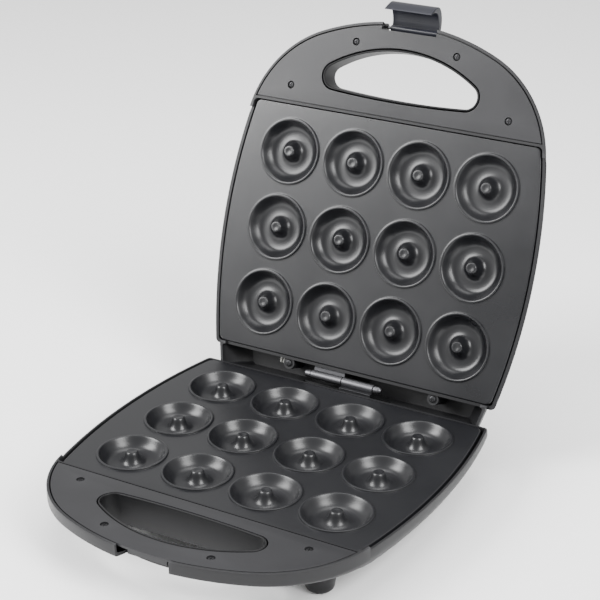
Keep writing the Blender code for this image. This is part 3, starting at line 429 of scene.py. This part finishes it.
def buildPlate(half):
    bm = bmesh.new()
    top = plateSizes["top"]
    loops = [plateLoop(bm, 0, plateSizes["skirt"])]
    loops += [plateLoop(bm, inset, top + drop) for inset, drop in plateSizes["edge"]]
    loft(bm, loops, caps=False)
    rims = []
    for x, y in cupPlaces():
        made = bmesh.ops.create_circle(bm, segments=plateSizes["steps"], radius=plateSizes["ringFoot"],
                                       matrix=Matrix.Translation((x, y, -top)))
        rims += edgesOf(made["verts"])
    bmesh.ops.triangle_fill(bm, use_beauty=True, use_dissolve=False, edges=loops[-1] + rims,
                            normal=(0, 0, 1))
    for x, y in cupPlaces():
        spinProfile(bm, cupProfile, plateSizes["steps"], (x, y))
    bmesh.ops.remove_doubles(bm, verts=bm.verts, dist=merge["cups"])
    obj = solid(half + "Plate", bm)
    up = sum(p.normal.z * p.area for p in obj.data.polygons)
    if up < 0:
        obj.data.flip_normals()
    wall = obj.modifiers.new("wall", "SOLIDIFY")
    wall.thickness = plateSizes["sheet"]
    wall.offset = -1.0
    return piece(obj, halves[half], nonStick, half, [half + "_cooking_plate"], "coating", 30)


for half in halves:
    buildPlate(half)
print("plates built")

# handle covers

coverSizes = {"inset": 3.0, "rearY": -102.0, "top": 0.3, "under": 2.3, "screwHole": 3.1,
              "screwHoleSteps": 32, "latchHalf": 23.7, "latchFloor": -168.6,
              "screws": ((95.3, -114.4), (43.8, -156.1)), "edge": ((0.0, 0.5), (0.14, 0.16), (0.45, 0.0))}
coverScrewAt = [(sign * x, y) for x, y in coverSizes["screws"] for sign in (-1, 1)]
# how far cutters go past what they cut
past = {"side": 200.0, "deep": 60.0, "high": 100.0, "little": 10.0}


def rod(radius, top, bottom):
    # the profile of a plain cylinder
    return [(0, top), (radius, top), (radius, bottom), (0, bottom)]


def buildCover(half):
    bm = bmesh.new()
    top = coverSizes["top"]
    steps = [(0.0, coverSizes["under"])] + [(inset, top + drop) for inset, drop in coverSizes["edge"]]
    outer = [drawLoop(bm, handlePath(coverSizes["inset"] + inset, coverSizes["rearY"] - inset), -depth)
             for inset, depth in steps]
    inner = [drawLoop(bm, gripPath(-inset), -depth) for inset, depth in steps]
    loft(bm, outer, caps=False)
    loft(bm, inner, caps=False)
    for a, b in ((outer[-1], inner[-1]), (outer[0], inner[0])):
        bmesh.ops.triangle_fill(bm, use_beauty=True, use_dissolve=True, edges=a + b, normal=(0, 0, 1))
    obj = solid(half + "Cover", bm)
    tool = bmesh.new()
    for at in coverScrewAt:
        spinProfile(tool, rod(coverSizes["screwHole"], 4, -6), coverSizes["screwHoleSteps"], at)
    if half == "lid":
        wide, little = coverSizes["latchHalf"], past["little"]
        addBox(tool, (-wide, -past["side"], -little), (wide, coverSizes["latchFloor"], little))
    combine(obj, solid(half + "CoverHoles", tool), "DIFFERENCE")
    return piece(obj, halves[half], coverPlastic, half, [half + "_handle_cover"], "cover")


for half in halves:
    buildCover(half)
print("covers built")

# housings; both are drawn like the base, open side up, and the lid's drawing is turned over by its place

shell = {"wall": 2.2, "rim": {"base": 2.6, "lid": 2.8}, "rearY": 103.2, "panFront": -112.0,
         "panCorner": 30.0, "rearCorner": 4.0, "border": 2.5, "roomGap": 0.6, "tailFront": 80.0,
         "tailRear": 121.0, "tailInset": 5.5, "tailRoomRings": 9, "handleFront": 12.5,
         "handleSlope": 0.105, "handleRear": -92.0, "handleRoomGap": 0.4, "shelf": 19.0,
         "bulkheadFront": 100.5, "bulkheadRear": 102.5, "bulkheadHalf": {"base": 200.0, "lid": 115.0},
         "bulkheadDrop": {"base": 2.6, "lid": 3.0}}
lip = {"pan": ((0.75, 0.0), (0.25, 0.2)), "handle": ((0.8, 0.3), (0.25, 0.52))}     # inset and drop
taper = {"front": 0.5, "rear": 0.3, "frontCorner": 0.3, "rearCorner": 0.5, "roomCorner": 0.5,
         "tailRear": 0.15}
tube = {"gap": 0.9, "wall": 1.5, "below": {"base": 5.9, "lid": -0.4}}
coverRoom = {"gap": 0.9, "rearGap": 0.6, "depth": 2.6}
notch = {"half": {"base": 22.0, "lid": 23.7}, "front": -172.0, "floor": -168.0, "hookDrop": 9.1,
         "hookRoom": 6.5, "keepHalf": {"base": 16.0, "lid": 26.2}, "keepRear": -163.1}
ears = {"half": 26.0, "radius": 3.0, "blockHalf": 25.9, "blockReach": 2.95, "rear": -160.0, "steps": 25}
feet = {"places": ((93.2, -96.5), (90.0, 82.0)), "steps": 40}
footProfile = [(0, -20), (14.5, -20), (13.0, -27), (11.4, -33.0), (10.8, -36.3), (10.5, -38.7),
               (9.9, -40.3), (8.9, -41.25), (8.1, -41.5), (0, -41.5)]
boss = {"x": (-56.0, 73.5), "y": 106.0, "radius": 4.8, "top": 5.0, "steps": 36}
wells = {"x": 121.0, "y": 62.0, "radius": 3.0, "top": -19.8, "steps": 32}
wellPlaces = [(sx * wells["x"], sy * wells["y"]) for sx in (-1, 1) for sy in (-1, 1)]
hingeMiddle = -4.0
hingeGap = {"half": 40.0, "front": 105.0, "rear": 130.0, "depth": 14.0}
lens = {"x": 10.0, "y": -56.0, "top": 36.8, "hole": 3.7, "steps": 40}

# the walls' profiles from the rim down: inset and depth, and for a handle its share of the sloping depth
panRings = {"base": ((0.0, 3.4), (0.1, 9.5), (3.2, 15.5), (8.6, 21.6), (17.0, 27.8), (30.0, 33.4),
                     (47.0, 36.0)),
            "lid": ((0.3, 3.6), (2.8, 9.0), (6.6, 15.5), (11.8, 22.5), (19.6, 29.2), (31.0, 34.0),
                    (46.0, 36.0))}
handleRings = {"base": ((0.0, 1.1, 0.0), (0.0, 8.4, 0.0), (0.6, 9.2, 0.18), (2.4, 9.2, 0.42),
                        (6.0, 9.2, 0.66), (12.0, 9.2, 0.88), (20.0, 9.2, 1.0)),
               "lid": ((0.0, 1.1, 0.0), (0.6, 3.4, 0.0), (1.8, 6.2, 0.0), (3.8, 8.5, 0.08),
                       (8.0, 8.5, 0.50), (14.0, 8.5, 0.85), (21.0, 8.5, 1.0))}


def handleDepth(y):
    return shell["handleFront"] + shell["handleSlope"] * (y - plan["frontY"])


def panLoops(bm, half):
    rim = panRings[half][0][0]
    top = shell["rim"][half]
    rings = [(rim + inset, top + drop) for inset, drop in lip["pan"]] + smoothRings(panRings[half], 3)
    # a flat border keeps the shading of the flat even
    rings.append((rings[-1][0] + shell["border"], rings[-1][1]))
    loops = []
    for inset, depth in rings:
        front, rear = shell["panFront"] + taper["front"] * inset, shell["rearY"] - taper["rear"] * inset
        path = panPath(inset, front, rear, shell["panCorner"] + taper["frontCorner"] * inset,
                       shell["rearCorner"] + taper["rearCorner"] * inset)
        loops.append(drawLoop(bm, path, -depth))
    return loops


def roomLoops(bm, half):
    # the room inside the pan, open at the top
    wall = shell["wall"]
    first = panRings[half][0][0]
    rings = [(first - 0.9, -4.0)] + [(i, d - wall) for i, d in smoothRings(panRings[half], 2)[1:]]
    front = plateSizes["frontY"] - shell["roomGap"]
    loops = []
    for inset, depth in rings:
        more = inset - first
        rear, rounder = shell["bulkheadFront"] - taper["rear"] * more, taper["roomCorner"] * more
        path = panPath(inset + wall, front + taper["front"] * more, rear, 4.0 + rounder, 2.0 + rounder)
        loops.append(drawLoop(bm, path, -depth))
    return loops


def tailLoops(bm, half, wall):
    # the part behind the plate, or with a wall the room in it
    rings = [(panRings[half][0][0], -4.0 if wall else 0.15)]
    rings += [(i, d - wall) for i, d in smoothRings(panRings[half], 2)]
    if wall:
        rings = rings[:shell["tailRoomRings"]]
    front = shell["bulkheadRear"] if wall else shell["tailFront"]
    loops = []
    for inset, depth in rings:
        rear = shell["tailRear"] - wall - taper["tailRear"] * inset
        path = panPath(shell["tailInset"] + inset + wall, front, rear, 2.0, 3.0 - 0.4 * wall + 0.1 * inset)
        loops.append(drawLoop(bm, path, -depth))
    return loops


def handleLoops(bm, half, wall):
    # the part in front of the pan, or with a wall the room in it
    if wall:
        rear = coverSizes["rearY"] - shell["handleRoomGap"]
        loops = [drawLoop(bm, handlePath(wall, rear), 4.0)]
    else:
        rear = shell["handleRear"]
        loops = [drawLoop(bm, handlePath(inset, rear), -drop) for inset, drop in lip["handle"]]
    for inset, depth, share in smoothRings(handleRings[half], 3):
        def height(y, depth=depth, share=share):
            return -(depth + share * (handleDepth(y) - depth) - wall)
        loops.append(drawLoop(bm, handlePath(wall + inset, rear), height))
    return loops


def loftSolid(name, draw):
    bm = bmesh.new()
    loft(bm, draw(bm))
    return solid(name, bm)


def prism(name, path, low, high):
    return loftSolid(name, lambda bm: [drawLoop(bm, path, low), drawLoop(bm, path, high)])


def boxSolid(name, low, high):
    bm = bmesh.new()
    addBox(bm, low, high)
    return solid(name, bm)


def cutBox(obj, name, low, high):
    combine(obj, boxSolid(name, low, high), "DIFFERENCE")


def turnedSolid(name, profile, steps, places, axis="Z"):
    bm = bmesh.new()
    for place in places:
        spinProfile(bm, profile, steps, place, axis)
    return solid(name, bm)


def addFeet(obj):
    places = [(sign * x, y) for x, y in feet["places"] for sign in (-1, 1)]
    combine(obj, turnedSolid("feet", footProfile, feet["steps"], places), "UNION")


def addEars(obj):
    # the latch's pin goes through them
    y, z = stance["pinFront"], -stance["pinUp"]
    wide, reach = ears["blockHalf"], ears["blockReach"]
    combine(obj, boxSolid("earBlock", (-wide, y, z - reach), (wide, ears["rear"], z + reach)), "UNION")
    ends = rod(ears["radius"], ears["half"], -ears["half"])
    combine(obj, turnedSolid("earEnds", ends, ears["steps"], [(0, y, z)], "X"), "UNION")


def cutTailRoom(obj, half):
    room = loftSolid("tailRoom", lambda bm: tailLoops(bm, half, shell["wall"]))
    if half == "base":
        cutBox(room, "shelfKeep", (-past["side"], 0, -shell["shelf"] - shell["wall"]),
               (past["side"], past["side"], past["high"]))
    else:
        column = rod(boss["radius"], -boss["top"], -past["deep"])
        columns = turnedSolid("bosses", column, boss["steps"], [(x, boss["y"]) for x in boss["x"]])
        combine(room, columns, "DIFFERENCE")
    combine(obj, room, "DIFFERENCE")


def cutHandleRoom(obj, half):
    room = loftSolid("gripRoom", lambda bm: handleLoops(bm, half, shell["wall"]))
    wide = notch["keepHalf"][half]
    cutBox(room, "latchKeep", (-wide, -past["side"], -past["deep"]), (wide, notch["keepRear"], past["deep"]))
    combine(obj, room, "DIFFERENCE")
    hole = gripPath(tube["gap"] * 1.01)
    combine(obj, prism("gripHole", hole, -past["deep"], past["deep"]), "DIFFERENCE")
    cover = handlePath(coverSizes["inset"] - coverRoom["gap"], coverSizes["rearY"] + coverRoom["rearGap"])
    combine(obj, prism("coverRoom", cover, -coverRoom["depth"], coverRoom["depth"]), "DIFFERENCE")


def cutNotch(obj, half):
    # room for the latch; in the base over, behind and under the edge that its hook takes
    rows = [(coverSizes["latchFloor"] + 0.3, past["little"])]
    if half == "base":
        rows = [(notch["front"], past["little"]), (notch["floor"], -coverRoom["depth"]),
                (notch["floor"] + notch["hookRoom"], -notch["hookDrop"])]
    wide = notch["half"][half]
    for i, (rear, top) in enumerate(rows):
        apart = 0.5 * i         # no two cutters share a face
        low = (-wide, -past["side"] - apart, -past["deep"] - apart)
        cutBox(obj, "notch" + str(i), low, (wide, rear, top))


def cutBulkhead(obj, half):
    wide = shell["bulkheadHalf"][half]
    cutBox(obj, "bulkheadTop", (-wide, plateSizes["rearY"], -shell["bulkheadDrop"][half]),
           (wide, shell["bulkheadRear"] + 0.5, past["high"]))


def cutRear(obj, half):
    if half == "base":
        cutBox(obj, "shelf", (-past["side"], shell["bulkheadRear"], -shell["shelf"]),
               (past["side"], past["side"], past["high"]))
        cutBulkhead(obj, half)
        well = rod(wells["radius"], wells["top"], -past["deep"])
        combine(obj, turnedSolid("screwWells", well, wells["steps"], wellPlaces), "DIFFERENCE")
    else:
        cutBox(obj, "hingeGap", (hingeMiddle - hingeGap["half"], hingeGap["front"], -hingeGap["depth"]),
               (hingeMiddle + hingeGap["half"], hingeGap["rear"], past["little"]))
        cutBulkhead(obj, half)
        hole = rod(lens["hole"], -30, -past["deep"])
        places = [(sign * lens["x"], lens["y"]) for sign in (-1, 1)]
        combine(obj, turnedSolid("lensHoles", hole, wells["steps"], places), "DIFFERENCE")


def buildHousing(half):
    obj = loftSolid(half + "Housing", lambda bm: panLoops(bm, half))
    combine(obj, loftSolid("tail", lambda bm: tailLoops(bm, half, 0.0)), "UNION")
    combine(obj, loftSolid("handle", lambda bm: handleLoops(bm, half, 0.0)), "UNION")
    if half == "base":
        addFeet(obj)
    else:
        addEars(obj)
    combine(obj, loftSolid("room", lambda bm: roomLoops(bm, half)), "DIFFERENCE")
    cutTailRoom(obj, half)
    cutHandleRoom(obj, half)
    cutNotch(obj, half)
    cutRear(obj, half)
    return piece(obj, halves[half], housingPlastic, half, [half + "_housing"], "housing", 32)


def buildTube(half):
    # the wall of the grip hole, from its rounded lip down through the handle
    bm = bmesh.new()
    gap, wall = tube["gap"], tube["wall"]

    def bottom(y):
        return -(handleDepth(y) + tube["below"][half])

    steps = ((gap, bottom), (gap, -1.0), (gap + 0.12, -0.55), (gap + 0.4, -0.22), (gap + 0.75, -0.12),
             (gap + 1.1, -0.22), (gap + wall - 0.12, -0.55), (gap + wall, -1.0), (gap + wall + 0.5, bottom))
    loops = [drawLoop(bm, gripPath(inset), height) for inset, height in steps]
    loft(bm, loops, caps=False)
    bmesh.ops.bridge_loops(bm, edges=loops[0] + loops[-1])
    # the wall takes the darker copy of the housing plastic, painted shade inside the grip hole
    return piece(solid(half + "GripTube", bm), halves[half], shadedTubePlastic, half, [], "housing", 50)


for half in halves:
    buildHousing(half)
    buildTube(half)
print("housings built")

# screws, each with a cross in its head

screwSizes = {"head": 2.7, "steps": 32, "cross": 1.5, "slot": 0.5, "slotDepth": 0.8, "shank": 1.3,
              "length": 8.0, "bodyLength": 11.0, "coverTop": -0.9, "tailTop": -3.1, "bodyTop": 21.8}


def screwHead(name, places, top, place, body, nodes, length=screwSizes["length"]):
    bm = bmesh.new()
    head, shank = screwSizes["head"], screwSizes["shank"]
    profile = [(0, 0), (head * 0.55, -0.03), (head * 0.82, -0.18), (head * 0.96, -0.45), (head, -0.8),
               (head, -1.5), (shank, -1.5), (shank, -length), (0, -length - 0.6)]
    for x, y in places:
        spinProfile(bm, profile, screwSizes["steps"], (x, y, top))
    obj = solid(name, bm)
    cross, slot = screwSizes["cross"], screwSizes["slot"] / 2
    for suffix, wide, long in (("SlotA", cross, slot), ("SlotB", slot, cross)):
        tool = bmesh.new()
        for x, y in places:
            addBox(tool, (x - wide, y - long, top - screwSizes["slotDepth"]), (x + wide, y + long, top + 1))
        combine(obj, solid(name + suffix, tool), "DIFFERENCE")
    return piece(obj, place, blackSteel, body, nodes, "screw", 40)


def numbered(name, count):
    return [name + "_" + str(i + 1) for i in range(count)]


for half in halves:
    screwHead(half + "CoverScrews", coverScrewAt, screwSizes["coverTop"], halves[half], half,
              numbered(half + "_cover_screw", 4))
screwHead("lidTailScrews", [(x, boss["y"]) for x in boss["x"]], screwSizes["tailTop"], halves["lid"], "lid",
          numbered("lid_tail_screw", 2))
turnOver = Matrix.Rotation(math.pi, 4, "X")
screwHead("baseBodyScrews", [(x, -y) for x, y in wellPlaces], screwSizes["bodyTop"],
          halves["base"] @ turnOver, "base", numbered("base_body_screw", 4), screwSizes["bodyLength"])
print("screws built")

# latch

latchSizes = {"half": 20.0, "round": 0.9, "insets": ((0.3, 0.45), (0.25, 0.45))}
latchSection = [(-172.9, 8.4), (-174.2, 5.0), (-174.7, 1.0), (-174.5, -2.8), (-173.4, -6.0),
                (-171.0, -8.3), (-168.0, -9.3), (-163.8, -9.8), (-162.9, -10.2), (-163.6, -10.7),
                (-167.5, -11.1), (-172.5, -11.3), (-176.6, -10.4), (-179.2, -7.8), (-180.4, -3.9),
                (-180.3, 0.8), (-179.0, 5.5), (-176.8, 9.6), (-174.0, 12.4), (-171.2, 13.0),
                (-168.9, 11.9), (-168.5, 10.0), (-169.3, 8.4), (-171.0, 7.9)]


def buildLatch():
    bm = bmesh.new()
    half = latchSizes["half"]
    verts = [bm.verts.new((-half, y, z)) for y, z in smoothRings(latchSection + latchSection[:1], 2)[:-1]]
    edges = [bm.edges.new(pair) for pair in zip(verts, verts[1:] + verts[:1])]
    face = bmesh.ops.edgeloop_fill(bm, edges=edges)["faces"][0]
    made = bmesh.ops.extrude_face_region(bm, geom=[face])["geom"]
    moved = [v for v in made if isinstance(v, bmesh.types.BMVert)]
    bmesh.ops.translate(bm, vec=(half * 2, 0, 0), verts=moved)
    bmesh.ops.recalc_face_normals(bm, faces=bm.faces)
    ends = [f for f in bm.faces if abs(f.normal.x) > 0.9]
    for thickness, depth in latchSizes["insets"]:
        for end in ends:
            bmesh.ops.inset_region(bm, faces=[end], thickness=latchSizes["round"] * thickness,
                                   depth=latchSizes["round"] * (depth - thickness))
    place = latchFrame @ millimetres
    return piece(solid("latchClaw", bm), place, latchPlastic, "latch_body", ["latch"], "latch", 35)


buildLatch()
print("latch built")

# hinge

hingeSizes = {"span": 28.0, "split": 0.25, "barrel": 3.7, "barrelEdge": 0.35, "leaf": 1.2,
              "leafEdge": 0.25, "leafFront": 102.8, "leafReach": 16.0, "leafBite": 0.3, "headGap": 0.2,
              "steps": 32}
pinHead = [(0, 6.6), (1.6, 6.4), (2.4, 5.6), (3.1, 4.3), (3.1, 0.3), (2.6, 0.3), (2.6, 0.0), (0, 0)]


def barrelProfile(length, radius, edge):
    upper = [(0, length / 2), (radius - edge, length / 2), (radius - edge * 0.3, length / 2 - edge * 0.3),
             (radius, length / 2 - edge)]
    return upper + [(r, -z) for r, z in reversed(upper)]


def buildHinge(half):
    bm = bmesh.new()
    span, leaf = hingeSizes["span"], hingeSizes["leaf"]
    y, z = stance["hingeBack"], stance["hingeUp"]
    side = -1 if half == "base" else 1
    x0, x1 = hingeMiddle - span, hingeMiddle - hingeSizes["split"]
    if half == "base":
        x0, x1 = hingeMiddle + hingeSizes["split"], hingeMiddle + span
    barrel = barrelProfile(x1 - x0, hingeSizes["barrel"], hingeSizes["barrelEdge"])
    spinProfile(bm, barrel, hingeSizes["steps"], ((x0 + x1) / 2, y, z), "X")
    edge = z + side * (hingeSizes["barrel"] - hingeSizes["leafBite"])
    front, bevel = hingeSizes["leafFront"], hingeSizes["leafEdge"]
    low, high = sorted((edge, edge - side * leaf))
    addBox(bm, (x0, front, low), (x1, y, high), bevel)
    low, high = sorted((edge - side * leaf, side * hingeSizes["leafReach"]))
    addBox(bm, (x0, front, low), (x1, front + leaf, high), bevel)
    place = (baseFrame if half == "base" else lidFrame) @ millimetres
    return piece(solid(half + "Hinge", bm), place, hingeSteel, half, [half + "_hinge_bracket"], "hinge", 35)


for half in halves:
    buildHinge(half)
pinBody = bmesh.new()
for side in (-1, 1):
    made = spinProfile(pinBody, pinHead, hingeSizes["steps"], (0, 0), "X")
    if side < 0:
        bmesh.ops.scale(pinBody, vec=(-1, 1, 1), verts=made)
    x = hingeMiddle + side * (hingeSizes["span"] + hingeSizes["headGap"])
    bmesh.ops.translate(pinBody, vec=(x, stance["hingeBack"], stance["hingeUp"]), verts=made)
piece(solid("hingePin", pinBody), baseFrame @ millimetres, hingeSteel, "base", ["hinge_pin"], "hinge", 35)
print("hinge built")

# indicator lenses in the lid's top

lensProfile = [(0, 0), (1.2, -0.06), (2.2, -0.3), (2.9, -0.75), (3.3, -1.4), (3.4, -2.2), (3.4, -4.6),
               (0, -4.6)]
for name, side, slotName, mat in (("power", -1, "red_lens", redLens), ("ready", 1, "green_lens", greenLens)):
    bm = bmesh.new()
    spinProfile(bm, lensProfile, lens["steps"], (side * lens["x"], lens["y"], lens["top"]))
    piece(solid(name + "Lens", bm), lidFrame @ millimetres, mat, "lid", [name + "_light_lens"], slotName, 40)
print("lenses built")

# finishes for the parts kept as they are

slotFinish = {"housing": housingPlastic, "cover": coverPlastic, "coating": nonStick,
              "latch": latchPlastic, "hinge": hingeSteel, "screw": blackSteel, "sheath": sheathSteel,
              "tray": traySheet, "pad": rubber, "ceramic": ceramicGrey, "sleeve": glassSleeve,
              "red_lens": redLens, "green_lens": greenLens, "lamp": lampGlass}
slotOf = {row["node"]: row["material_slot"] for row in frame["record"]["subparts"]}
for name, node in frame["nodes"].items():
    for holder in node.material_slots:
        holder.material = slotFinish[slotOf[name]]
print("kept parts finished")

# floor, light and camera

studio = {"floor": 6.0, "floorColour": (0.95, 0.95, 0.95), "floorRough": 0.9, "sky": 1.0, "aim": (0, 0, 0.1)}
lights = {"leftBox": {"at": (-1.1, -0.9, 1.1), "size": (0.8, 1.1), "power": 60.0},
          "rightBox": {"at": (1.3, -0.4, 1.2), "size": (0.7, 1.0), "power": 44.0},
          "topBox": {"at": (0.0, 0.3, 1.6), "size": (1.2, 0.8), "power": 16.0}}
bm = bmesh.new()
bmesh.ops.create_grid(bm, x_segments=2, y_segments=2, size=studio["floor"])
floorMesh = bpy.data.meshes.new("floor")
bm.to_mesh(floorMesh)
bm.free()
floorPiece = bpy.data.objects.new("floor", floorMesh)
bpy.context.scene.collection.objects.link(floorPiece)
floorMat, nodes, links, shader = newMaterial("paleFloor")
shader.inputs["Base Color"].default_value = (*studio["floorColour"], 1)
shader.inputs["Roughness"].default_value = studio["floorRough"]
floorMesh.materials.append(floorMat)

world = bpy.data.worlds.new("studio")
world.use_nodes = True
sky = world.node_tree.nodes["Background"]
sky.inputs["Color"].default_value = (1, 1, 1, 1)
sky.inputs["Strength"].default_value = studio["sky"]
bpy.context.scene.world = world


def softBox(name, at, size, power):
    light = bpy.data.lights.new(name, "AREA")
    light.shape = "RECTANGLE"
    light.size, light.size_y = size
    light.energy = power
    obj = bpy.data.objects.new(name, light)
    obj.location = at
    obj.rotation_euler = (Vector(studio["aim"]) - Vector(at)).to_track_quat("-Z", "Y").to_euler()
    bpy.context.scene.collection.objects.link(obj)


for name, row in lights.items():
    softBox(name, **row)

view = {"azimuth": 30.729, "elevation": 24.377, "roll": -0.704, "distance": 1.36803, "lens": 110.05,
        "sensor": 36, "target": (-0.00609, 0.02409, 0.13918)}
az, el, roll = (math.radians(view[k]) for k in ("azimuth", "elevation", "roll"))
back = Vector((math.sin(az) * math.cos(el), -math.cos(az) * math.cos(el), math.sin(el)))
right = Vector((math.cos(az), math.sin(az), 0))
up = back.cross(right)
turnedRight = right * math.cos(roll) + up * math.sin(roll)
turnedUp = up * math.cos(roll) - right * math.sin(roll)
camera = bpy.data.objects.new("camera", bpy.data.cameras.new("camera"))
camera.data.lens = view["lens"]
camera.data.sensor_width = view["sensor"]
camera.matrix_world = Matrix((turnedRight, turnedUp, back)).transposed().to_4x4()
camera.location = Vector(view["target"]) + back * view["distance"]
bpy.context.scene.collection.objects.link(camera)
bpy.context.scene.camera = camera
print("studio set")
